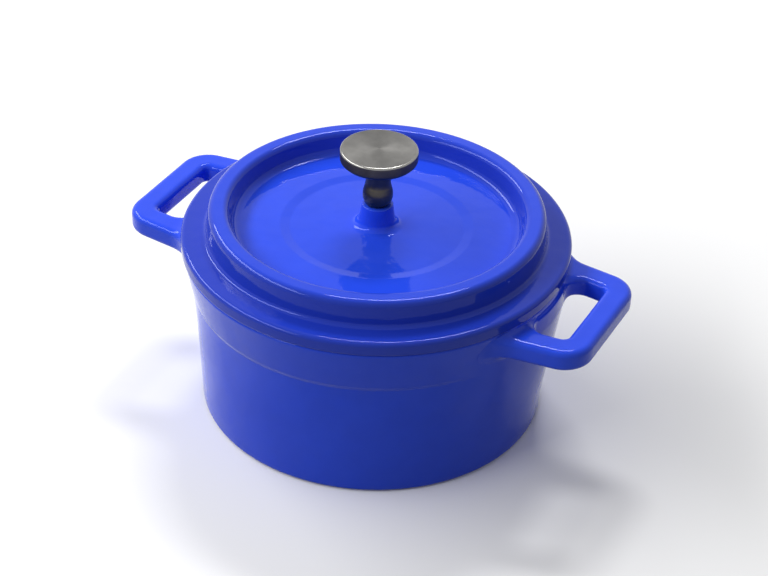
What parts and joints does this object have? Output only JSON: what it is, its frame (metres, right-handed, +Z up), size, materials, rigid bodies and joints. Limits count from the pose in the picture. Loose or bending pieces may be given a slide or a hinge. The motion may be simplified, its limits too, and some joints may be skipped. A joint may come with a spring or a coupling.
{
  "type": "cocotte",
  "caption": "Small round cast iron cocotte with a lift-off lid, cast loop handles at the rim and a turned mushroom knob.",
  "frame": {"origin": "middle of the foot, on the plane the pot stands on", "axes": "+Z up the pot's axis to the knob, X through the two handles"},
  "size_m": [0.1442, 0.11, 0.0808],
  "materials": {
    "pot_enamel": "gloss",
    "lid_enamel": "gloss",
    "knob_steel": "satin",
    "screw_steel": "satin",
    "lock_washer_steel": "satin",
    "flat_washer_steel": "satin"
  },
  "bodies": {
    "pot_body": {"pot": "pot_enamel"},
    "lid_body": {"lid": "lid_enamel", "knob": "knob_steel", "knob_screw": "screw_steel", "lock_washer": "lock_washer_steel", "flat_washer": "flat_washer_steel"}
  },
  "joints": [
    {"name": "lid_lift", "type": "slide", "parent": "pot_body", "child": "lid_body", "axis": [0, 0, 1], "range_m": [0, 0.1]}
  ]
}
